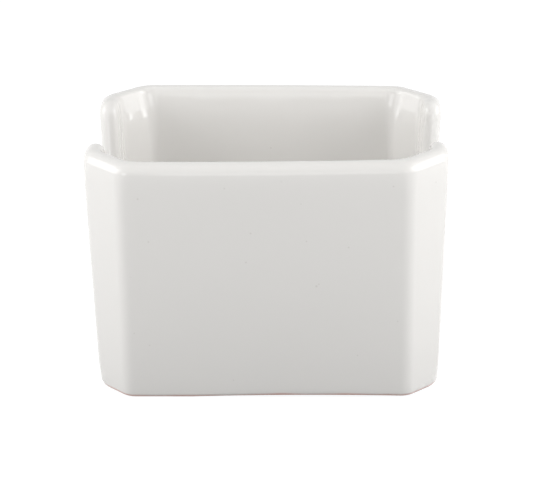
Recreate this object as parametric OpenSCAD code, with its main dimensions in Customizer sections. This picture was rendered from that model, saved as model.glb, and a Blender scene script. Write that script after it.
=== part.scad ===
// Sugar packet holder of white hotel porcelain: an open box with chamfered corners, a
// rounded rim and a finger notch in each short wall. The fired clay body, the glaze coat
// fused over it and the glaze in the recess under the base are three solids that meet
// face to face. Millimetres, +Z up, +X along the long side, origin at the middle of the
// foot on the table.

/* [Body] */
// Width over the short walls, at the rim
body_w = 101.6; // [92:0.1:114]
// Depth over the long walls, at the rim
body_d = 75; // [68:0.5:86]
// Height from the table to the top of the rim
body_h = 71.5; // [60:0.5:86]
// Thickness of the glazed wall, which the rim rounds over
wall = 6.1; // [4.5:0.1:7]
// Inward lean of every wall from the rim down, in degrees
lean = 1.7; // [0.5:0.1:2.6]

/* [Corners] */
// Leg of each corner chamfer at the rim, outside
chamfer = 10.9; // [9:0.1:13]
// How much thicker the wall is across a chamfer
corner_extra = 0.8; // [0:0.1:1.6]
// Radius of the upright edges outside
edge_r = 3.1; // [1.5:0.1:4.5]
// Radius of the upright corners inside
inner_edge_r = 3.5; // [1.5:0.1:5]

/* [Finger notches] */
// Depth of each notch below the rim
notch_depth = 32; // [22:0.5:38]
// Lean of the notch's straight sides away from upright, in degrees
notch_splay = 8; // [4:0.5:12]
// Level rim left between a notch and the corner beside it
post_flat = 1.3; // [0.6:0.1:4]
// Radius of the wall's middle line where the rim turns down into a notch
shoulder_r = 1; // [0.5:0.1:2.5]

/* [Base] */
// Height of the cavity's glazed floor above the table
floor_h = 6; // [4.5:0.1:8]
// Radius of the fillet round the cavity's floor
floor_fillet_r = 4.5; // [2.5:0.1:6]
// Radius of the bare edge that turns under to the foot
base_edge_r = 1.5; // [1:0.1:2.4]
// Width of the foot ring's flat
foot_w = 3.2; // [2:0.1:5]
// Depth of the recess inside the foot ring
recess_d = 1.2; // [0.8:0.1:2]

/* [Glaze] */
// Thickness of the fired glaze
glaze_t = 0.35; // [0.2:0.05:0.5]
// Height of the bare band that is wiped clean above the table
dry_band = 0.6; // [0.3:0.1:0.9]
// Bare margin between the base glaze and the recess's wall
dry_margin = 0.5; // [0.3:0.1:1.5]

/* [Hidden] */

// Fineness of the curved surfaces, in steps
rim_steps = 10;
notch_steps = 10;
shoulder_steps = 4;
corner_steps = 4;
fillet_steps = 4;
edge_steps = 3;
bare_steps = 2;

// Each corner turns a quarter in two equal bends, with the chamfer between them
bend = 45;
upright = 90;
half_turn = 180;
bend_reach = tan(bend / 2);
// A parallel inset shortens a chamfer's leg by this share of itself
leg_share = 2 - sqrt(2);
// A corner radius stays under this multiple of the leg, so its bends never meet
radius_share = 0.98 * sqrt(0.5) / bend_reach;

// The rim is a half round on the wall, so its centre line runs this low
rim_z = body_h - wall / 2;
inner_leg = chamfer + corner_extra * sqrt(2);

// Skins of the solid, as a depth below the glazed surface
GLAZED = 0;
BARE = glaze_t;

// The bare edge turns by a quarter, and the glaze stops part of the way down it
glaze_end = asin(1 - dry_band / base_edge_r);
fillet_z = floor_h + floor_fillet_r;
recess_inset = glaze_t + base_edge_r + foot_w;
recess_corner_r = edge_r + dry_margin;

// Parts of a quarter of the outline, from the short wall's middle to the long wall's
SHORT_WALL = 0;
SIDE_BEND = 1;
CHAMFER = 2;
FACE_BEND = 3;
LONG_WALL = 4;

function lean_in(z) = (rim_z - z) * tan(lean);

// An outline at one height: half width, half depth, chamfer leg and corner radius. The
// leg shrinks as fast as the walls lean, so each long panel is a true rectangle.
function outline(z, inset, leg, radius) =
    let (shift = lean_in(z) + inset, cut = leg - lean_in(z) - inset * leg_share)
    [body_w / 2 - shift, body_d / 2 - shift, cut, min(radius, cut * radius_share)];

function outer_outline(z, inset) = outline(z, inset, chamfer, edge_r - inset);

function inner_outline(z, inset) =
    outline(z, inset, inner_leg, inner_edge_r + max(0, wall - inset));

// End of an outline's short wall, where its first bend starts
function wall_end(o) = o[1] - o[2] - o[3] * bend_reach;

// Point of an outline at a station, which is a part of the quarter and a share of it
function on_outline(o, part, share) =
    let (end_y = wall_end(o), end_x = o[0] - o[2] - o[3] * bend_reach, r = o[3])
    part == SHORT_WALL ? [o[0], end_y * share] :
    part == SIDE_BEND ? [o[0] - r + r * cos(bend * share), end_y + r * sin(bend * share)] :
    part == FACE_BEND ? [end_x + r * cos(bend + bend * share), o[1] - r + r * sin(bend + bend * share)] :
    part == LONG_WALL ? [end_x * (1 - share), o[1]] :
    on_outline(o, SIDE_BEND, 1) * (1 - share) + on_outline(o, FACE_BEND, 0) * share;

// Edge of the short wall, along its middle line: level rim, shoulder, straight side and
// round bottom of the notch. The bottom's radius follows from what the others leave.
climb = upright - notch_splay;
notch_z = rim_z - notch_depth;
rim_from = wall_end(inner_outline(rim_z, wall)) - post_flat;
bends_r = (rim_from * sin(climb) - notch_depth * cos(climb)) / (1 - cos(climb));
bottom_r = bends_r - shoulder_r;
bottom_run = bottom_r * climb * PI / half_turn;
side_run = (notch_depth - bends_r * (1 - cos(climb))) / sin(climb);
shoulder_run = shoulder_r * climb * PI / half_turn;
short_run = bottom_run + side_run + shoulder_run + post_flat;

// A station is a part, a share of it, and on the short wall the edge's sideways place,
// height and heading there
function bottom_station(share) =
    let (h = climb * share)
    [SHORT_WALL, bottom_run * share / short_run, bottom_r * sin(h), notch_z + bottom_r * (1 - cos(h)), h];

function shoulder_station(share) =
    let (h = climb * (1 - share))
    [SHORT_WALL, (bottom_run + side_run + shoulder_run * share) / short_run,
     rim_from - shoulder_r * sin(h), rim_z - shoulder_r * (1 - cos(h)), h];

stations = concat(
    [for (i = [0 : notch_steps]) bottom_station(i / notch_steps)],
    [for (i = [0 : shoulder_steps]) shoulder_station(i / shoulder_steps)],
    [for (i = [0 : corner_steps]) [SIDE_BEND, i / corner_steps]],
    [for (i = [0 : corner_steps]) [FACE_BEND, i / corner_steps]],
    [[LONG_WALL, 1]]
);
last = len(stations) - 1;

function at_z(p, z) = [p[0], p[1], z];

// Top of a wall's flat side at a station, on the outer or the inner outline
function wall_top(st, o_top, o_low, low_z) =
    st[0] == SHORT_WALL
        ? [o_low[0] + (o_top[0] - o_low[0]) * (st[3] - low_z) / (rim_z - low_z), st[2], st[3]]
        : at_z(on_outline(o_top, st[0], st[1]), rim_z);

function outer_top(st, skin) =
    wall_top(st, outer_outline(rim_z, skin), outer_outline(base_edge_r, skin), base_edge_r);

function inner_top(st, skin) =
    wall_top(st, inner_outline(rim_z, wall - skin), inner_outline(fillet_z, wall - skin), fillet_z);

// Direction in which the rim stands up from the wall's edge at a station
function rim_up(st) =
    st[0] == SHORT_WALL ? [cos(st[4]) * tan(lean), -sin(st[4]), cos(st[4])] : [0, 0, 1];

// Rows of the surface at a station. Angles are measured from the wall's side.
function edge_row(st, skin, angle) =
    let (r = base_edge_r + glaze_t - skin, z = base_edge_r - r * sin(angle))
    at_z(on_outline(outer_outline(z, skin + r * (1 - cos(angle))), st[0], st[1]), z);

function rim_row(st, skin, angle) =
    let (outside = outer_top(st, skin), inside = inner_top(st, skin))
    (outside + inside) / 2 + (outside - inside) / 2 * cos(angle) + rim_up(st) * (wall / 2 - skin) * sin(angle);

function fillet_row(st, skin, angle) =
    let (r = floor_fillet_r + skin, z = fillet_z - r * sin(angle))
    at_z(on_outline(inner_outline(z, wall - skin + r * (1 - cos(angle))), st[0], st[1]), z);

// One station's points from an angle on the base edge, over the rim, to the floor
function column(st, skin, edge_angles) = concat(
    [for (a = edge_angles) edge_row(st, skin, a)],
    [for (i = [0 : rim_steps]) rim_row(st, skin, half_turn * i / rim_steps)],
    [for (i = [0 : fillet_steps]) fillet_row(st, skin, upright * i / fillet_steps)]
);

function mirrored(points, x, y) = [for (p = points) [p[0] * x, p[1] * y, p[2]]];

// Four quarters make the ring of columns, each shared wall middle taken once
function ring(skin, edge_angles) =
    let (quarter = [for (st = stations) column(st, skin, edge_angles)])
    concat(
        quarter,
        [for (i = [last - 1 : -1 : 0]) mirrored(quarter[i], -1, 1)],
        [for (i = [1 : last]) mirrored(quarter[i], -1, -1)],
        [for (i = [last - 1 : -1 : 1]) mirrored(quarter[i], 1, -1)]
    );

function flat(lists) = [for (l = lists) for (p = l) p];

// Two triangles for each cell of a ring of columns, facing outwards
function skin_faces(columns, rows, start) = flat([
    for (c = [0 : columns - 1])
        let (a = start + c * rows, b = start + ((c + 1) % columns) * rows)
        [for (r = [0 : rows - 2]) each [[a + r, a + r + 1, b + r + 1], [a + r, b + r + 1, b + r]]]
]);

// Fan that closes one row of a ring towards a centre point
function fan_faces(columns, rows, start, row, centre) =
    [for (c = [0 : columns - 1]) [start + c * rows + row, centre, start + ((c + 1) % columns) * rows + row]];

// Strip that joins one row of a ring to the same row of another
function ledge_faces(columns, rows, start, other_rows, other_start) = flat([
    for (c = [0 : columns - 1])
        let (n = (c + 1) % columns, a = start + c * rows, b = start + n * rows)
        let (p = other_start + c * other_rows, q = other_start + n * other_rows)
        [[a, b, q], [a, q, p]]
]);

function turned(faces) = [for (f = faces) [f[2], f[1], f[0]]];

module cast_solid() {
    angles = concat(
        [for (i = [0 : bare_steps - 1]) upright + (glaze_end - upright) * i / bare_steps],
        [for (i = [0 : edge_steps]) glaze_end * (1 - i / edge_steps)]
    );
    columns = ring(BARE, angles);
    count = len(columns);
    rows = len(columns[0]);
    floor_centre = count * rows;
    foot_centre = floor_centre + 1;
    polyhedron(
        points = concat(flat(columns), [[0, 0, floor_h - BARE], [0, 0, 0]]),
        faces = concat(
            skin_faces(count, rows, 0),
            fan_faces(count, rows, 0, rows - 1, floor_centre),
            turned(fan_faces(count, rows, 0, 0, foot_centre))
        ),
        convexity = 4
    );
}

// Outline of the recess under the base, drawn in by a margin
module recess_outline(margin) {
    o = outer_outline(base_edge_r, recess_inset + margin);
    rounded = [o[0], o[1], o[2], min(recess_corner_r - margin, o[2] * radius_share)];
    steps = [for (i = [0 : corner_steps]) i / corner_steps];
    quarter = concat(
        [for (s = steps) on_outline(rounded, SIDE_BEND, s)],
        [for (s = steps) on_outline(rounded, FACE_BEND, s)]
    );
    top = len(quarter) - 1;
    polygon(concat(
        quarter,
        [for (i = [top : -1 : 0]) [-quarter[i][0], quarter[i][1]]],
        [for (i = [0 : top]) [-quarter[i][0], -quarter[i][1]]],
        [for (i = [top : -1 : 0]) [quarter[i][0], -quarter[i][1]]]
    ));
}

// Vitrified clay body, slip-cast in one, bare only on its foot ring
module porcelain_body() {
    color([0.90, 0.86, 0.82])
        difference() {
            cast_solid();
            translate([0, 0, -recess_d])
                linear_extrude(2 * recess_d)
                    recess_outline(0);
        }
}

// Clear white glaze over the outside, the rim, the notches and the cavity
module glaze_coat() {
    angles = [for (i = [0 : edge_steps]) glaze_end * (1 - i / edge_steps)];
    face = ring(GLAZED, angles);
    back = ring(BARE, angles);
    count = len(face);
    rows = len(face[0]);
    back_start = count * rows;
    face_centre = 2 * count * rows;
    back_centre = face_centre + 1;
    color([0.95, 0.95, 0.94])
        polyhedron(
            points = concat(flat(face), flat(back), [[0, 0, floor_h], [0, 0, floor_h - BARE]]),
            faces = concat(
                skin_faces(count, rows, 0),
                fan_faces(count, rows, 0, rows - 1, face_centre),
                turned(skin_faces(count, rows, back_start)),
                turned(fan_faces(count, rows, back_start, rows - 1, back_centre)),
                ledge_faces(count, rows, 0, rows, back_start)
            ),
            convexity = 6
        );
}

// Glaze that fills the recess's ceiling, kept off the foot ring so that it doesn't fuse
// to the kiln shelf
module base_glaze() {
    color([0.94, 0.94, 0.92])
        translate([0, 0, recess_d - glaze_t])
            linear_extrude(glaze_t)
                recess_outline(dry_margin);
}

porcelain_body();
glaze_coat();
base_glaze();
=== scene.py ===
import math

import bpy
from mathutils import Matrix, Vector


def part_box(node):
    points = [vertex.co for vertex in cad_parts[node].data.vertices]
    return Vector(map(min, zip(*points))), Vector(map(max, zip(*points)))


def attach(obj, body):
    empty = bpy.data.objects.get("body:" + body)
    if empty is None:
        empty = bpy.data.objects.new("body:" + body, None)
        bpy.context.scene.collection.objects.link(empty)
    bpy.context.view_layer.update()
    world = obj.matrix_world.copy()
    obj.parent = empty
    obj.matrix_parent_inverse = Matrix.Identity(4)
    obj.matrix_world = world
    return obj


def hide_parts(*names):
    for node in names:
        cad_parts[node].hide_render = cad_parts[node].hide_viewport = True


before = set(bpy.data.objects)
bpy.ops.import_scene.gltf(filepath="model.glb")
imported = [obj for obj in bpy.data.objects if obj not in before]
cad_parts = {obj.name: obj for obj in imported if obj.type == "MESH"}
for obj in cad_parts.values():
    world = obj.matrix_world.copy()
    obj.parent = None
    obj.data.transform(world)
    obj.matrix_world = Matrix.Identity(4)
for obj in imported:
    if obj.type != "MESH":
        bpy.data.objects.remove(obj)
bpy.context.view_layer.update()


# The casting: one slip-cast box of white hotel porcelain with chamfered corners, a half
# round rim and a finger notch in each short wall. Its body and the glaze fused over it
# follow the same rule, so one node tree makes the skin of both.
MM = 0.001
coat_low, coat_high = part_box("glaze_coat")
body_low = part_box("porcelain_body")[0]
CAST_SIZES = {
    "Width": coat_high.x - coat_low.x,
    "Depth": coat_high.y - coat_low.y,
    "Height": coat_high.z,
    "Wall": 6.1 * MM,
    "Lean": math.radians(1.7),
    "Chamfer": 10.9 * MM,
    "Corner extra": 0.8 * MM,
    "Edge radius": 3.1 * MM,
    "Inner edge radius": 3.5 * MM,
    "Notch depth": 32 * MM,
    "Notch splay": math.radians(8),
    "Post flat": 1.3 * MM,
    "Shoulder radius": 1.0 * MM,
    "Floor height": 6.0 * MM,
    "Floor fillet": 4.5 * MM,
    "Base edge radius": 1.5 * MM,
    "Glaze": body_low.x - coat_low.x,
    "Dry band": 0.6 * MM,
    # How much rounder a corner is towards the short wall (side) and the long wall (face),
    # and how far down from the rim or up from the foot
    "Rim face corner": 4.0 * MM,
    "Rim side corner": 2.8 * MM,
    "Rim corner height": 7 * MM,
    "Lip corner height": 16 * MM,
    "Wall face corner": 2.5 * MM,
    "Foot side corner": 7.0 * MM,
    "Foot face corner": 2.5 * MM,
    "Foot corner height": 8 * MM,
    # How far and how far down the lip of the cavity and the rim's outer side are eased
    "Lip depth": 2.3 * MM,
    "Lip height": 9.0 * MM,
    "Lip wave": 1.4 * MM,
    "Shoulder ease": 0.45 * MM,
    "Shoulder height": 4.6 * MM,
}
# Steps of the mesh round a quarter of the casting: notch bottom, notch side, shoulder,
# post, side bend, chamfer, face bend and long wall
ROUND_STEPS = (18, 9, 9, 2, 8, 6, 8, 14)
# Steps up and over it: joint, base edge, outer wall, rim, inner wall, fillet and floor
OVER_STEPS = (1, 6, 24, 32, 26, 8, 8)
# Each corner turns a quarter in two equal bends, with the chamfer between them
BEND = math.radians(45)
QUARTER_TURN = math.radians(90)
# How far a bend reaches along a wall, as a share of its radius
BEND_REACH = math.tan(BEND / 2)
# How much a chamfer's leg shortens, as a share of the outline's inset
LEG_SHARE = 2 - math.sqrt(2)


class Wire:
    """An output socket that can stand in a sum, in a geometry tree or a material."""

    def __init__(self, socket):
        self.socket = socket

    @staticmethod
    def lay(tree, kind, settings=None, values=None, out=0):
        """An output of a new node, by its number or name. The node's settings are set
        first, and then each of its sockets gets a value, a link or a list of links."""
        node = tree.nodes.new(kind)
        for name, value in (settings or {}).items():
            setattr(node, name, value)
        for key, value in (values or {}).items():
            for one in value if isinstance(value, list) else [value]:
                if isinstance(one, Wire):
                    tree.links.new(one.socket, node.inputs[key])
                else:
                    node.inputs[key].default_value = one
        return Wire(node.outputs[out])

    def math(self, operation, *others):
        values = dict(enumerate((self, *others)))
        return Wire.lay(self.socket.id_data, "ShaderNodeMath", {"operation": operation}, values)

    def __add__(self, other):
        return self.math("ADD", other)

    def __sub__(self, other):
        return self.math("SUBTRACT", other)

    def __rsub__(self, other):
        return self.math("MULTIPLY_ADD", -1.0, other)

    def __mul__(self, other):
        return self.math("MULTIPLY", other)

    def __truediv__(self, other):
        return self.math("DIVIDE", other)

    def __neg__(self):
        return self.math("MULTIPLY", -1.0)

    __radd__ = __add__
    __rmul__ = __mul__

    def sin(self):
        return self.math("SINE")

    def cos(self):
        return self.math("COSINE")

    def above_zero(self):
        return self.math("MAXIMUM", 0.0)

    def held(self):
        """Kept between 0 and 1."""
        return self.above_zero().math("MINIMUM", 1.0)

    def smooth(self):
        """Eased from 0 to 1 between 0 and 1."""
        held = self.held()
        return held * held * (3 - 2 * held)

    def part(self, index):
        """One coordinate of a vector."""
        return Wire.lay(self.socket.id_data, "ShaderNodeSeparateXYZ", {}, {0: self}, index)


def new_tree(name, numbers, material=False):
    """A geometry tree with a number socket for each size, and one for the material."""
    tree = bpy.data.node_groups.new(name, "GeometryNodeTree")
    tree.interface.new_socket("Geometry", in_out="OUTPUT", socket_type="NodeSocketGeometry")
    tree.interface.new_socket("Geometry", in_out="INPUT", socket_type="NodeSocketGeometry")
    for size in numbers:
        tree.interface.new_socket(size, in_out="INPUT", socket_type="NodeSocketFloat")
    if material:
        tree.interface.new_socket("Material", in_out="INPUT", socket_type="NodeSocketMaterial")
    entry = tree.nodes.new("NodeGroupInput")
    return tree, {socket.name: Wire(socket) for socket in entry.outputs if socket.name}


def close_tree(tree, geometry):
    exit_node = tree.nodes.new("NodeGroupOutput")
    tree.links.new(geometry.socket, exit_node.inputs[0])


def vector(tree, x, y, z):
    return Wire.lay(tree, "ShaderNodeCombineXYZ", {}, {0: x, 1: y, 2: z})


def length(x, y):
    return (x * x + y * y).math("SQRT")


def noise(place, scale, detail=2.0, roughness=0.5, out=0):
    """Smooth noise with so many waves in a metre: output 0 is a number, and 1 a vector."""
    values = {"Vector": place, "Scale": scale, "Detail": detail, "Roughness": roughness}
    settings = {"noise_dimensions": "3D"}
    return Wire.lay(place.socket.id_data, "ShaderNodeTexNoise", settings, values, out)


def shares(step, counts):
    """How far along each run of steps a step is, from 0 before the run to 1 after it."""
    start = 0
    found = []
    for count in counts:
        found.append(((step - start) / count).held())
        start += count
    return found


def quarter_grid(tree, columns, rows):
    """A flat grid whose coordinates count its own steps."""
    grid = Wire.lay(tree, "GeometryNodeMeshGrid", {}, {
        "Vertices X": columns + 1,
        "Vertices Y": rows + 1,
        "Size X": float(columns),
        "Size Y": float(rows),
    })
    place = Wire.lay(tree, "GeometryNodeInputPosition")
    return grid, place.part(0) + columns / 2, place.part(1) + rows / 2


def moved(tree, geometry, position):
    values = {"Geometry": geometry, "Position": position}
    return Wire.lay(tree, "GeometryNodeSetPosition", {}, values)


def turned_over(tree, geometry):
    return Wire.lay(tree, "GeometryNodeFlipFaces", {}, {0: geometry})


def joined(tree, *geometries):
    return Wire.lay(tree, "GeometryNodeJoinGeometry", {}, {0: list(geometries)})


def four_quarters(tree, quarter):
    """A quarter mirrored across both middle planes, with every face right side out."""
    whole = quarter
    for scale in ((-1.0, 1.0, 1.0), (1.0, -1.0, 1.0)):
        values = {"Geometry": whole, "Scale": scale}
        image = Wire.lay(tree, "GeometryNodeTransform", {}, values)
        whole = joined(tree, whole, turned_over(tree, image))
    return whole


class Plan:
    """The outline of the casting in a tree: where each column of the mesh is at any
    height."""

    def __init__(self, tree, size, column):
        self.size = size
        bottom, side, shoulder, post, bend, chamfer, face, wall = shares(column, ROUND_STEPS)
        self.post = post
        self.bend = bend
        self.chamfer = chamfer
        self.face = face
        self.wall = wall

        # Both bends of a corner with a radius of 1: how far in and how far along
        side_turn = bend * BEND
        face_turn = face * BEND + BEND
        self.side_bend = (1 - side_turn.cos(), side_turn.sin())
        self.face_bend = (math.cos(BEND) - face_turn.cos(), face_turn.sin() - math.sin(BEND))

        self.rim_z = size["Height"] - size["Wall"] * 0.5
        self.lean = size["Lean"].math("TANGENT")
        self.inner_leg = size["Chamfer"] + size["Corner extra"] * math.sqrt(2)

        # The notch's edge: a round bottom, a splayed side and a shoulder up to the rim.
        # Bottom and shoulder turn by the same angle, and the notch's depth and width
        # settle what their radii come to together
        climb = QUARTER_TURN - size["Notch splay"]
        over = 1 - climb.cos()
        rim = self.outline(self.rim_z, size["Wall"], self.inner_leg, size["Inner edge radius"])
        self.rim_from = rim["end"] - size["Post flat"]
        radii = (self.rim_from * climb.sin() - size["Notch depth"] * climb.cos()) / over
        shoulder_r = size["Shoulder radius"]
        bottom_r = radii - shoulder_r
        side_run = (size["Notch depth"] - radii * over) / climb.sin()
        leave = climb * (1 - shoulder)
        turn = climb * bottom
        self.heading = climb * (bottom - shoulder)
        self.notch_y = (
            bottom_r * turn.sin()
            + side_run * climb.cos() * side
            + shoulder_r * (climb.sin() - leave.sin())
        )
        self.edge_z = (
            self.rim_z - size["Notch depth"]
            + bottom_r * (1 - turn.cos())
            + side_run * climb.sin() * side
            + shoulder_r * (leave.cos() - climb.cos())
        )

        # How far along that edge, from the notch's middle to the end of the post
        runs = (bottom_r * climb, side_run, shoulder_r * climb, size["Post flat"])
        done = [run * share for run, share in zip(runs, (bottom, side, shoulder, post))]
        self.flat_share = sum(done) / sum(runs)

    def outline(self, z, inset, leg, radius, eased=(0.0, 0.0)):
        """The outline at a height, set in from the outside, with the radii of its side
        and face bends eased by so much."""
        lean = (self.rim_z - z) * self.lean
        cut = leg - lean - inset * LEG_SHARE
        half_w = self.size["Width"] * 0.5 - lean - inset
        half_d = self.size["Depth"] * 0.5 - lean - inset
        side = radius + eased[0]
        face = radius + eased[1]
        end = half_d - cut - side * BEND_REACH
        return {"w": half_w, "cut": cut, "side": side, "face": face, "end": end, "z": z}

    def point(self, o, along_edge):
        """The column's point on an outline. The short wall's stretch follows the notch's
        edge, or at the foot and the floor it is spread evenly."""
        if along_edge:
            start = self.notch_y + (o["end"] - self.rim_from) * self.post
        else:
            start = o["end"] * self.flat_share
        side = o["side"]
        face = o["face"]
        slope = (o["cut"] - (side + face) * BEND_REACH / math.sqrt(2)) * self.chamfer
        bends = [side * self.side_bend[i] + face * self.face_bend[i] for i in (0, 1)]
        long_wall = (o["w"] - o["cut"] - face * BEND_REACH) * self.wall
        return [o["w"] - bends[0] - slope - long_wall, start + bends[1] + slope, o["z"]]


def mixed(a, b, share):
    return [p + (q - p) * share for p, q in zip(a, b)]


def sideways(hard, soft):
    """How far across a softer outline moves a point."""
    return [q - p for p, q in zip(hard[:2], soft[:2])]


# A damp sponge has drawn the cavity's lip back from the wall, down to a wavy line, and
# the rim's outer side a little way. How much of the lip the edge of a notch has, and how
# much of it a face bend loses:
NOTCH_LIP = 0.4
FACE_BEND_LOSS = 0.45
# Waves of the lip's lower line in a metre
SPONGE_WAVES = 110.0
# How steeply both eased sides fade downwards, and how steeply they end at the rim's top
LIP_FADE = 1.2
SHOULDER_FADE = 1.4
LIP_EDGE = 5.0
SHOULDER_EDGE = 6.0
# Where the glaze is whiter, partly run thin and partly painted light: how far down a notch's
# edge, and from where across the rim
THIN_AND_PAINTED_REACH = 0.7
THIN_AND_PAINTED_FROM = 0.1
THIN_AND_PAINTED_RISE = 2.5


def cast_skin_tree():
    """Skin of the casting at a depth below the glazed surface, from an angle on its base
    edge, over the rim, to the middle of the floor."""
    tree, size = new_tree("Cast skin", [*CAST_SIZES, "Skin depth", "First depth", "First angle"])
    grid, column, row = quarter_grid(tree, sum(ROUND_STEPS), sum(OVER_STEPS))
    plan = Plan(tree, size, column)
    joint, edge, outside, rim, inside, fillet, floor = shares(row, OVER_STEPS)
    skin = size["Skin depth"]
    leg = size["Chamfer"]

    # The base edge, from the bare foot up to the wall
    start_skin = size["First depth"] + (skin - size["First depth"]) * joint
    angle = size["First angle"] * (1 - edge)
    edge_r = size["Base edge radius"] + size["Glaze"] - start_skin
    foot_inset = start_skin + edge_r * (1 - angle.cos())
    foot_z = size["Base edge radius"] - edge_r * angle.sin()
    foot_r = size["Edge radius"] - foot_inset
    wall_eased = (0.0, size["Wall face corner"])
    foot_point = plan.point(plan.outline(foot_z, foot_inset, leg, foot_r, wall_eased), False)

    # Both faces of the wall, along the notch's edge and the rim
    outer_r = size["Edge radius"] - skin
    inner_r = size["Inner edge radius"] + skin
    outer_place = (plan.edge_z, skin, leg, outer_r)
    inner_place = (plan.edge_z, size["Wall"] - skin, plan.inner_leg, inner_r)
    outer_point = plan.point(plan.outline(*outer_place, wall_eased), True)
    inner_point = plan.point(plan.outline(*inner_place), True)

    # The fillet down to the floor
    down = fillet * QUARTER_TURN
    fillet_r = size["Floor fillet"] + skin
    fillet_z = size["Floor height"] + size["Floor fillet"] - fillet_r * down.sin()
    inset = size["Wall"] - skin + fillet_r * (1 - down.cos())
    corner_r = size["Inner edge radius"] + (size["Wall"] - inset).above_zero()
    bowl_point = plan.point(plan.outline(fillet_z, inset, plan.inner_leg, corner_r), False)

    # Up the wall, over the rim in a half circle, down to the bowl and in over the floor
    turn = rim * math.pi
    within = 0.5 - turn.cos() * 0.5
    rise = (size["Wall"] * 0.5 - skin) * turn.sin()
    up = [
        plan.heading.cos() * plan.lean * (1 - plan.wall),
        -plan.heading.sin(),
        plan.heading.cos(),
    ]
    across = [i - o for i, o in zip(inner_point, outer_point)]
    place = mixed(foot_point, outer_point, outside)
    place = [p + a * within + u * rise for p, a, u in zip(place, across, up)]
    place = [p + (b - i) * inside for p, b, i in zip(place, bowl_point, inner_point)]
    middle = [0.0, 0.0, bowl_point[2]]
    place = [p + (m - b) * floor for p, m, b in zip(place, middle, bowl_point)]

    # Near the foot and the rim the corners are softer
    foot_eased = (size["Foot side corner"], size["Foot face corner"])
    foot_soft = plan.point(plan.outline(foot_z, foot_inset, leg, foot_r, foot_eased), False)
    foot_move = sideways(foot_point, foot_soft)
    rim_eased = (size["Rim side corner"], size["Rim face corner"])
    outer_move = sideways(outer_point, plan.point(plan.outline(*outer_place, rim_eased), True))
    inner_move = sideways(inner_point, plan.point(plan.outline(*inner_place, rim_eased), True))
    ease_height = size["Rim corner height"] * (1 - within) + size["Lip corner height"] * within
    near_rim = (1 - (plan.rim_z - place[2]) / ease_height).smooth()
    moves = [move * near_rim for move in mixed(outer_move, inner_move, within)]
    near_foot = (1 - place[2] / size["Foot corner height"]).smooth() * (1 - within)
    moves = [m + f * near_foot for m, f in zip(moves, foot_move)]

    # The sponged lip and the outer side
    around = vector(tree, outer_point[0], outer_point[1], 0.0)
    wave = noise(around, SPONGE_WAVES, detail=1.0) - 0.5
    drop = (plan.edge_z + size["Wall"] * 0.5 - place[2]).above_zero()
    lip_height = size["Lip height"] + wave * 2.0 * size["Lip wave"]
    lip = size["Lip depth"] * (1 - drop / lip_height).held().math("POWER", LIP_FADE)
    lip = lip * (1 - plan.face * FACE_BEND_LOSS) * within.math("POWER", LIP_EDGE)
    bent = plan.bend.smooth()
    lip = lip * (NOTCH_LIP + bent * (1 - NOTCH_LIP))
    shoulder_height = size["Shoulder height"] + wave * size["Lip wave"]
    shoulder_fall = (1 - drop / shoulder_height).held().math("POWER", SHOULDER_FADE)
    shoulder = size["Shoulder ease"] * shoulder_fall
    shoulder = shoulder * (1 - within).math("POWER", SHOULDER_EDGE) * bent
    pull = (shoulder - lip) / length(across[0], across[1])
    moves = [m + a * pull for m, a in zip(moves, across[:2])]
    place = [p + m for p, m in zip(place[:2], moves)] + [place[2]]

    # Where the glaze is whiter over the notch's edges, partly run thin and partly painted light,
    # for the material
    thin_and_painted_light = (1 - drop / (size["Notch depth"] * THIN_AND_PAINTED_REACH)).smooth()
    thin_and_painted_light = thin_and_painted_light * (1 - (plan.chamfer + plan.face) * 0.5)
    thin_and_painted_light = thin_and_painted_light * ((within - THIN_AND_PAINTED_FROM) * THIN_AND_PAINTED_RISE).smooth()
    quarter = moved(tree, grid, vector(tree, *place))
    quarter = Wire.lay(tree, "GeometryNodeStoreNamedAttribute", {"data_type": "FLOAT"}, {
        "Geometry": quarter, "Name": "thin_glaze", "Value": thin_and_painted_light,
    })
    close_tree(tree, four_quarters(tree, quarter))
    return tree


# Firing has warped the casting a little: the long wall at the back bows outwards, each
# long wall's rim runs off level, the front one sags and the back one crowns, and part of
# the foot at the front has lifted, as the photograph shows.
KILN_SIZES = {
    "Back bow": 0.2 * MM,
    "Front droop": 0.26 * MM,
    "Front sag": 0.42 * MM,
    "Back droop": 0.39 * MM,
    "Back crown": 0.15 * MM,
    "Foot lift": 0.58 * MM,
    "Unevenness": 0.25 * MM,
}
# Middle of the lifted part and how far it reaches, as shares of half the width, and how
# steeply the lift fades up the wall
LIFT_MIDDLE = 0.3
LIFT_REACH = 0.72
LIFT_FADE = 5.0
# How much more the front's rim sags left of its middle, and less right of it
SAG_SLANT = 0.5
# Waves of its unevenness in a metre
WARP_WAVES = 38.0
# Points of the mesh closer than this are one
SAME_PLACE = 0.002 * MM


def lifted(u):
    """How far the foot has lifted at a place across, from 0 to 1."""
    off_middle = (u - LIFT_MIDDLE) / LIFT_REACH
    return (1 - off_middle * off_middle).held()


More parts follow.
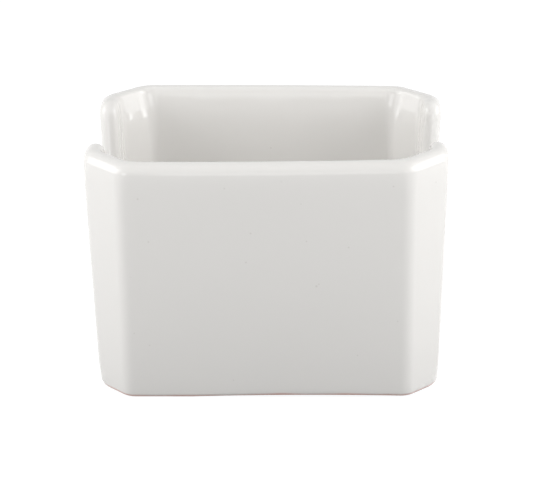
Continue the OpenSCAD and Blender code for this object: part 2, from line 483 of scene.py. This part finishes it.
def fired(tree, geometry, size):
    """The geometry joined up, warped as by the kiln, and shaded smooth."""
    values = {"Geometry": geometry, "Distance": SAME_PLACE}
    whole = Wire.lay(tree, "GeometryNodeMergeByDistance", {}, values)
    place = Wire.lay(tree, "GeometryNodeInputPosition")
    u = place.part(0) / (size["Width"] * 0.5)
    v = place.part(1) / (size["Depth"] * 0.5)
    h = place.part(2) / size["Height"]
    front = (-v).held()
    back = v.held()
    middle = 1 - u * u
    droop = size["Front droop"] * front * (u - 1) - size["Back droop"] * back * (u + 1)
    sag = size["Front sag"] * front * middle * (1 - u * SAG_SLANT)
    sag = sag - size["Back crown"] * back * middle
    bow = size["Back bow"] * back * middle
    lift = lifted(u) * size["Foot lift"] * front * (1 - h).math("POWER", LIFT_FADE)
    warp = noise(place, WARP_WAVES, detail=1.0, roughness=0.4, out=1)
    uneven = size["Unevenness"]
    offset = vector(
        tree,
        -u * warp.part(0) * uneven,
        bow - v * warp.part(1) * uneven,
        lift + h * (droop - sag - warp.part(2) * uneven * 0.5),
    )
    values = {"Geometry": whole, "Offset": offset}
    soft = Wire.lay(tree, "GeometryNodeSetPosition", {}, values)
    soft = Wire.lay(tree, "GeometryNodeSetShadeSmooth", {}, {"Geometry": soft})
    soft = Wire.lay(tree, "GeometryNodeRealizeInstances", {}, {0: soft})
    values = {"Geometry": soft, "Material": size["Material"]}
    return Wire.lay(tree, "GeometryNodeSetMaterial", {}, values)


def made(name, tree, sizes, material):
    """A plain mesh object from a tree, with the sizes set by their sockets' identifiers."""
    carrier = bpy.data.objects.new(name + "_rule", bpy.data.meshes.new(name + "_rule"))
    bpy.context.scene.collection.objects.link(carrier)
    modifier = carrier.modifiers.new("Rule", "NODES")
    modifier.node_group = tree
    inputs = {**sizes, "Material": material}
    for socket in tree.interface.items_tree:
        if socket.in_out == "INPUT" and socket.name in inputs:
            modifier[socket.identifier] = inputs[socket.name]
    bpy.context.view_layer.update()
    evaluated = carrier.evaluated_get(bpy.context.evaluated_depsgraph_get())
    mesh = bpy.data.meshes.new_from_object(evaluated)
    mesh.name = name
    bpy.data.objects.remove(carrier)
    piece = bpy.data.objects.new(name, mesh)
    bpy.context.scene.collection.objects.link(piece)
    return piece


cast_skin = cast_skin_tree()


def cast_skin_in(tree, size, depth, first_depth, first_angle):
    """The cast skin at a depth inside another tree, which hands on all its sizes."""
    values = {name: size[name] for name in CAST_SIZES}
    values.update({"Skin depth": depth, "First depth": first_depth, "First angle": first_angle})
    return Wire.lay(tree, "GeometryNodeGroup", {"node_tree": cast_skin}, values)


# The white glaze: a gloss about a third of a millimetre thick, dipped over the whole
# casting. It is whiter over the notches' edges, partly where it has run thin and partly as
# painted light; it is flushed brown where it ends above the bare foot, and it has the odd iron
# speck and a dipped coat's ripple.
GLAZE_WHITE = (0.702, 0.688, 0.662, 1.0)
GLAZE_CLOUD = (0.702, 0.681, 0.652, 1.0)
# Painted light, partly thin glaze: the whiter colour that brightens the notches' edges
GLAZE_THIN_AND_PAINTED_LIGHT = (0.84, 0.826, 0.802, 1.0)
CLOUD_AMOUNT = (-0.1, 0.7)
FLUSH_BROWN = (0.80, 0.40, 0.33, 1.0)
FLUSH_TOP = 1.25 * MM
FLUSH_FADE = 0.8 * MM
FLUSH_WANDER = 1.6
FLUSH_STRENGTH = 0.9
SPECK_BROWN = (0.42, 0.38, 0.33, 1.0)
SPECK_STRENGTH = 0.3
SPECK_PICK = 40.0
# Specks that show on the front: across, up and radius in millimetres
FRONT_SPECKS = (
    (-34.7, 61.1, 0.38), (35.0, 64.7, 0.34), (-4.0, 50.9, 0.36), (22.9, 46.7, 0.34),
    (11.3, 48.5, 0.30), (14.0, 35.0, 0.45), (14.7, 35.6, 0.30), (-33.0, 16.7, 0.30),
    (25.5, 13.6, 0.28), (36.6, 24.2, 0.28), (-9.6, 5.7, 0.26),
)
FRONT_FROM = 33 * MM
GLAZE_ROUGHNESS = (0.05, 0.09)
GLAZE_RIPPLE = 0.05 * MM
LONG_WAVES = 0.75
SHORT_WAVES = 0.04
GLAZE_IOR = 1.52


def glaze_coat_tree():
    """A closed coat: the glazed skin, the skin of the clay turned inside out, and the
    ledge between them above the foot."""
    tree, size = new_tree("Glaze coat", [*CAST_SIZES, *KILN_SIZES], material=True)
    ends = (1 - size["Dry band"] / size["Base edge radius"]).math("ARCSINE")
    face = cast_skin_in(tree, size, 0.0, size["Glaze"], ends)
    back = cast_skin_in(tree, size, size["Glaze"], size["Glaze"], ends)
    close_tree(tree, fired(tree, joined(tree, face, turned_over(tree, back)), size))
    return tree


def new_material(name):
    """A material, its shader, and the place on the object that its patterns read."""
    material = bpy.data.materials.new(name)
    material.use_nodes = True
    shader = material.node_tree.nodes["Principled BSDF"]
    place = Wire.lay(material.node_tree, "ShaderNodeTexCoord", out="Object")
    return material, shader, place


def feed(shader, wires):
    """Links each wire to the shader's socket of its name."""
    for name, wire in wires.items():
        wire.socket.id_data.links.new(wire.socket, shader.inputs[name])


def spread(share, ends):
    """A number between two ends."""
    return share * (ends[1] - ends[0]) + ends[0]


def colour_mix(share, low, high):
    """One colour turning into another."""
    tree = share.socket.id_data
    settings = {"data_type": "RGBA", "clamp_factor": True}
    return Wire.lay(tree, "ShaderNodeMix", settings, {0: share, 6: low, 7: high}, 2)


def raised(height, distance):
    """The normal of a surface that a height of 1 raises by the distance."""
    values = {"Height": height, "Distance": distance, "Strength": 1.0}
    return Wire.lay(height.socket.id_data, "ShaderNodeBump", {}, values)


def specks(place, scale, size, kept):
    """Sparse round specks: 1 in their middles, 0 off them. Most cells have none."""
    tree = place.socket.id_data
    cell = {"Vector": place, "Scale": scale, "Randomness": 1.0}
    settings = {"voronoi_dimensions": "3D"}
    near = Wire.lay(tree, "ShaderNodeTexVoronoi", settings, cell, 0)
    pick = Wire.lay(tree, "ShaderNodeTexVoronoi", settings, cell, 1).part(0)
    return (1 - near / size).held() * ((pick - kept) * SPECK_PICK).held()


def spot(place, across, up, radius):
    """A round spot seen from the front: 1 in its middle, 0 off it."""
    return (1 - length(place.part(0) - across, place.part(2) - up) / radius).held()


def above_foot(place):
    """Height over the foot, wherever the kiln has lifted it."""
    u = place.part(0) / (CAST_SIZES["Width"] / 2)
    v = place.part(1) / (CAST_SIZES["Depth"] / 2)
    return place.part(2) - lifted(u) * (-v).held() * KILN_SIZES["Foot lift"]


def white_glaze():
    material, shader, place = new_material("white_glaze")
    settings = {"attribute_name": "thin_glaze"}
    thin_and_painted_light = Wire.lay(material.node_tree, "ShaderNodeAttribute", settings, out="Fac")
    cloud = spread(noise(place, scale=45.0, detail=3.0), CLOUD_AMOUNT)
    colour = colour_mix(cloud, GLAZE_WHITE, GLAZE_CLOUD)
    # Painted light, partly thin glaze: the notches' edges turn whiter here
    colour = colour_mix(thin_and_painted_light, colour, GLAZE_THIN_AND_PAINTED_LIGHT)
    wander = (noise(place, scale=55.0) - 0.5) * FLUSH_WANDER
    flush = (FLUSH_TOP - above_foot(place)) / FLUSH_FADE + wander
    colour = colour_mix(flush.smooth() * FLUSH_STRENGTH, colour, FLUSH_BROWN)
    dots = specks(place, scale=190.0, size=0.07, kept=0.86)
    on_front = ((-place.part(1) - FRONT_FROM) / MM).held()
    for across, up, radius in FRONT_SPECKS:
        dots = dots + spot(place, across * MM, up * MM, radius * MM) * on_front
    colour = colour_mix(dots.held() * SPECK_STRENGTH, colour, SPECK_BROWN)
    waves = noise(place, scale=130.0) * LONG_WAVES
    waves = waves + noise(place, scale=700.0, detail=1.0) * SHORT_WAVES
    feed(shader, {
        "Base Color": colour,
        "Roughness": spread(noise(place, scale=90.0), GLAZE_ROUGHNESS),
        "Normal": raised(waves, GLAZE_RIPPLE),
    })
    shader.inputs["IOR"].default_value = GLAZE_IOR
    return material


glaze_material = white_glaze()
coat_sizes = {**CAST_SIZES, **KILN_SIZES}
glaze_coat = made("dipped_glaze", glaze_coat_tree(), coat_sizes, glaze_material)
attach(glaze_coat, "root")
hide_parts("glaze_coat")


# The clay body under the glaze: vitrified porcelain, seen bare only on the foot ring,
# which is wiped clean so that it doesn't fuse to the kiln shelf. The recess inside the
# ring keeps the middle of the base off the table.
patch_low, patch_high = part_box("base_glaze")
FOOT_SIZES = {
    "Foot width": 3.2 * MM,
    "Recess depth": patch_high.z,
    "Recess corner": 3.6 * MM,
    "Ring round": 0.35 * MM,
}
# Steps from the middle of the base outwards: ceiling, wall, inner corner and ring
UNDER_STEPS = (8, 2, 4, 4)
CLAY_PALE = (0.80, 0.72, 0.665, 1.0)
CLAY_TOASTED = (0.74, 0.36, 0.295, 1.0)
CLAY_ROUGHNESS = (0.62, 0.82)
CLAY_SHINE = 0.25
CLAY_GRAIN = 0.04 * MM
CLAY_SPECKS = 0.6
# The clay is toasted at the outer edge of the foot, between two heights, and a little in
# clouds elsewhere
TOAST_FROM = 0.08 * MM
TOAST_TO = 0.7 * MM
TOAST_FADE = 0.2 * MM
TOAST_CLOUD_FROM = 0.45
TOAST_CLOUD_RISE = 1.2
TOAST_CLOUD_STRENGTH = 0.5


def porcelain_body_tree():
    """A closed body: the skin under the glaze, and the base with its ring and recess."""
    numbers = [*CAST_SIZES, *KILN_SIZES, *FOOT_SIZES]
    tree, size = new_tree("Porcelain body", numbers, material=True)
    skin = cast_skin_in(tree, size, size["Glaze"], size["Glaze"], QUARTER_TURN)
    grid, column, row = quarter_grid(tree, sum(ROUND_STEPS), sum(UNDER_STEPS))
    plan = Plan(tree, size, column)
    ceiling, wall, corner, ring = shares(row, UNDER_STEPS)
    leg = size["Chamfer"]
    ring_start = size["Glaze"] + size["Base edge radius"]
    turn = corner * QUARTER_TURN
    inset = ring_start + size["Foot width"] - size["Ring round"] * (1 - turn.cos())
    drop = size["Recess depth"] - size["Ring round"]
    recess_z = size["Recess depth"] - drop * wall - size["Ring round"] * turn.sin()
    recess_point = plan.point(plan.outline(0.0, inset, leg, size["Recess corner"]), False)
    foot_eased = (size["Foot side corner"], size["Foot face corner"])
    toe_r = size["Edge radius"] - ring_start
    toe_point = plan.point(plan.outline(0.0, ring_start, leg, toe_r, foot_eased), False)
    x, y = [r * ceiling + (t - r) * ring for r, t in zip(recess_point[:2], toe_point[:2])]
    under = four_quarters(tree, moved(tree, grid, vector(tree, x, y, recess_z)))
    close_tree(tree, fired(tree, joined(tree, skin, under), size))
    return tree


def bare_porcelain():
    material, shader, place = new_material("bare_porcelain")
    height = above_foot(place)
    edge = ((height - TOAST_FROM) / TOAST_FADE).held() * ((TOAST_TO - height) / TOAST_FADE).held()
    cloud = noise(place, scale=160.0, detail=4.0, roughness=0.6) - TOAST_CLOUD_FROM
    toast = (cloud * TOAST_CLOUD_RISE).held() * TOAST_CLOUD_STRENGTH + edge
    colour = colour_mix(toast, CLAY_PALE, CLAY_TOASTED)
    dots = specks(place, scale=900.0, size=0.16, kept=0.7)
    grain = noise(place, scale=2600.0)
    feed(shader, {
        "Base Color": colour_mix(dots * CLAY_SPECKS, colour, SPECK_BROWN),
        "Roughness": spread(grain, CLAY_ROUGHNESS),
        "Normal": raised(grain, CLAY_GRAIN),
    })
    shader.inputs["Specular IOR Level"].default_value = CLAY_SHINE
    return material


clay_material = bare_porcelain()
body_sizes = {**CAST_SIZES, **KILN_SIZES, **FOOT_SIZES}
body = made("clay_body", porcelain_body_tree(), body_sizes, clay_material)
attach(body, "root")
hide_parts("porcelain_body")


# The glaze under the base: a thin pool left in the recess when the ring was wiped, with
# a rounded edge where its surface drew back before firing.
PATCH_SIZES = {"Patch thickness": patch_high.z - patch_low.z, "Dry margin": 0.5 * MM}
# Steps from the middle of its top, round its edge, to the middle of its underside
PATCH_STEPS = (10, 8, 10)
POOL_WHITE = (0.78, 0.765, 0.735, 1.0)
POOL_CLOUD = (0.74, 0.72, 0.685, 1.0)
POOL_ROUGHNESS = (0.09, 0.19)
POOL_RIPPLE = 0.12 * MM
POOL_SPECKS = 0.8


def base_glaze_tree():
    numbers = [*CAST_SIZES, *KILN_SIZES, *FOOT_SIZES, *PATCH_SIZES]
    tree, size = new_tree("Base glaze", numbers, material=True)
    grid, column, row = quarter_grid(tree, sum(ROUND_STEPS), sum(PATCH_STEPS))
    plan = Plan(tree, size, column)
    top, edge, bottom = shares(row, PATCH_STEPS)
    turn = edge * math.pi
    half = size["Patch thickness"] * 0.5
    ring_end = size["Glaze"] + size["Base edge radius"] + size["Foot width"]
    inset = ring_end + size["Dry margin"] + half - half * turn.sin()
    corner = size["Recess corner"] - half
    point = plan.point(plan.outline(0.0, inset, size["Chamfer"], corner), False)
    out = top - bottom
    z = size["Recess depth"] - half + half * turn.cos()
    quarter = moved(tree, grid, vector(tree, point[0] * out, point[1] * out, z))
    pool = four_quarters(tree, turned_over(tree, quarter))
    close_tree(tree, fired(tree, pool, size))
    return tree


def pooled_glaze():
    material, shader, place = new_material("base_glaze")
    colour = colour_mix(noise(place, scale=60.0, detail=3.0), POOL_WHITE, POOL_CLOUD)
    dots = specks(place, scale=260.0, size=0.11, kept=0.72)
    feed(shader, {
        "Base Color": colour_mix(dots * POOL_SPECKS, colour, SPECK_BROWN),
        "Roughness": spread(noise(place, scale=120.0), POOL_ROUGHNESS),
        "Normal": raised(noise(place, scale=260.0, detail=3.0), POOL_RIPPLE),
    })
    shader.inputs["IOR"].default_value = GLAZE_IOR
    return material


patch_sizes = {**body_sizes, **PATCH_SIZES}
patch = made("pooled_base_glaze", base_glaze_tree(), patch_sizes, pooled_glaze())
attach(patch, "root")
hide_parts("base_glaze")


# The table: a plain white sheet that runs out of the picture on every side. It shows
# white to the camera and in the gloss, and keeps the holder's shadow.
TABLE_HALF = 3.0
TABLE_GLOW = (0.92, 0.92, 0.92, 1.0)
TABLE_GREY = (0.2, 0.2, 0.2, 1.0)
TABLE_ROUGHNESS = (0.85, 0.95)
# How much light it throws back on the holder, a painted shadow that is darkest close by and fades
# out to this far
PAINTED_SHADOW_NEAR = (0.04, 0.04, 0.04, 1.0)
BOUNCE_PAST_SHADOW = (0.42, 0.42, 0.42, 1.0)
PAINTED_SHADOW_REACH = 0.22
BLACK = (0.0, 0.0, 0.0, 1.0)
WHITE = (1.0, 1.0, 1.0, 1.0)


def in_view(tree):
    """1 where the camera sees a thing itself, in the gloss or through glass, and 0 where
    it only lights other things."""
    rays = ("Is Camera Ray", "Is Glossy Ray", "Is Transmission Ray")
    camera_ray, glossy, through = [Wire.lay(tree, "ShaderNodeLightPath", out=ray) for ray in rays]
    return camera_ray.math("MAXIMUM", glossy).math("MAXIMUM", through)


def table_white():
    material, shader, place = new_material("table_white")
    seen = in_view(material.node_tree)
    out = length(place.part(0), place.part(1)) / PAINTED_SHADOW_REACH
    # A painted shadow round the holder, only in the light the table throws back
    shadowed_bounce = colour_mix(out.smooth(), PAINTED_SHADOW_NEAR, BOUNCE_PAST_SHADOW)
    feed(shader, {
        "Base Color": colour_mix(seen, shadowed_bounce, TABLE_GREY),
        "Roughness": spread(noise(place, scale=14.0), TABLE_ROUGHNESS),
        "Emission Color": colour_mix(seen, BLACK, TABLE_GLOW),
    })
    shader.inputs["Specular IOR Level"].default_value = 0.0
    shader.inputs["Emission Strength"].default_value = 1.0
    return material


table_mesh = bpy.data.meshes.new("table")
table_corners = [
    (-TABLE_HALF, -TABLE_HALF, 0), (TABLE_HALF, -TABLE_HALF, 0),
    (TABLE_HALF, TABLE_HALF, 0), (-TABLE_HALF, TABLE_HALF, 0),
]
table_mesh.from_pydata(table_corners, [], [(0, 1, 2, 3)])
table_mesh.materials.append(table_white())
table = bpy.data.objects.new("table", table_mesh)
bpy.context.scene.collection.objects.link(table)


# Plain soft studio light: rows of soft boxes round both sides, low, in the middle and
# high, a strip near the table at each short wall, and a pale room. The camera doesn't
# see the boxes themselves.
BOX_DISTANCE = 0.55
BOX_AIM = Vector((0.0, 0.0, CAST_SIZES["Height"] / 2))
# Each row's rise from the table in degrees, the width and height of its boxes, and each
# box's turn to the right of the front in degrees with its glow
BOX_ROWS = {
    "low_box": (8, 0.15, 0.22, (
        (0, 0.96), (30, 2.02), (45, 0.43), (60, 1.56), (75, 3.26), (90, 2.18),
        (-30, 2.50), (-60, 1.11), (-75, 2.45), (-90, 1.64),
    )),
    "middle_box": (26, 0.15, 0.22, (
        (60, 2.12), (75, 3.19), (90, 2.12), (105, 1.58),
        (-60, 2.54), (-75, 3.80), (-90, 2.54), (-105, 0.47),
    )),
    "high_box": (46, 0.24, 0.22, ((80, 0.50), (-80, 0.56))),
    "edge_strip": (2, 0.24, 0.07, ((85, 1.72), (-85, 0.72))),
}
ROOM_GREY = (0.49, 0.49, 0.49, 1.0)


def soft_box(name, turn, rise, width, height, glow):
    """A lamp as bright as its glow, where 1 is a white sheet in plain light."""
    lamp = bpy.data.lights.new(name, "AREA")
    lamp.shape = "RECTANGLE"
    lamp.size = width
    lamp.size_y = height
    lamp.energy = glow * width * height * math.pi
    box = bpy.data.objects.new(name, lamp)
    bpy.context.scene.collection.objects.link(box)
    box.visible_camera = False
    away = Vector((
        math.sin(turn) * math.cos(rise),
        -math.cos(turn) * math.cos(rise),
        math.sin(rise),
    ))
    box.location = BOX_AIM + away * BOX_DISTANCE
    box.rotation_euler = away.to_track_quat("Z", "Y").to_euler()


for row_name, (row_rise, box_width, box_height, boxes) in BOX_ROWS.items():
    for box_turn, box_glow in boxes:
        soft_box(
            f"{row_name}_{box_turn}", math.radians(box_turn), math.radians(row_rise),
            box_width, box_height, box_glow,
        )

room = bpy.data.worlds.new("pale_room")
room.use_nodes = True
feed(room.node_tree.nodes["Background"], {
    "Color": colour_mix(in_view(room.node_tree), ROOM_GREY, WHITE),
})
bpy.context.scene.world = room
bpy.context.scene.view_settings.view_transform = "Standard"


# The camera stands where the photograph was taken from, worked out from the holder's
# outline. Pixels are those of the photograph's own frame.
FRAME_W = 533
SENSOR_W = 36.0
FOCAL_PX = 2009.2
AXIS_RIGHT_PX = 3.15
AXIS_DOWN_PX = -2.38
CAMERA_DISTANCE = 591.3 * MM
AIM_HEIGHT = 35 * MM
PITCH = math.radians(21.50)
YAW = math.radians(1.89)
ROLL = math.radians(0.75)

optics = bpy.data.cameras.new("camera")
optics.sensor_width = SENSOR_W
optics.lens = FOCAL_PX / FRAME_W * SENSOR_W
optics.shift_x = -AXIS_RIGHT_PX / FRAME_W
optics.shift_y = AXIS_DOWN_PX / FRAME_W
level_right = Vector((math.cos(YAW), math.sin(YAW), 0))
ahead = Vector((-math.sin(YAW), math.cos(YAW), 0))
level_up = ahead * math.sin(PITCH) + Vector((0, 0, math.cos(PITCH)))
view = ahead * math.cos(PITCH) - Vector((0, 0, math.sin(PITCH)))
right = level_right * math.cos(ROLL) - level_up * math.sin(ROLL)
up = level_right * math.sin(ROLL) + level_up * math.cos(ROLL)
stand = Matrix.Translation(Vector((0, 0, AIM_HEIGHT)) - view * CAMERA_DISTANCE)
camera = bpy.data.objects.new("camera", optics)
bpy.context.scene.collection.objects.link(camera)
camera.matrix_world = stand @ Matrix((right, up, -view)).transposed().to_4x4()
bpy.context.scene.camera = camera
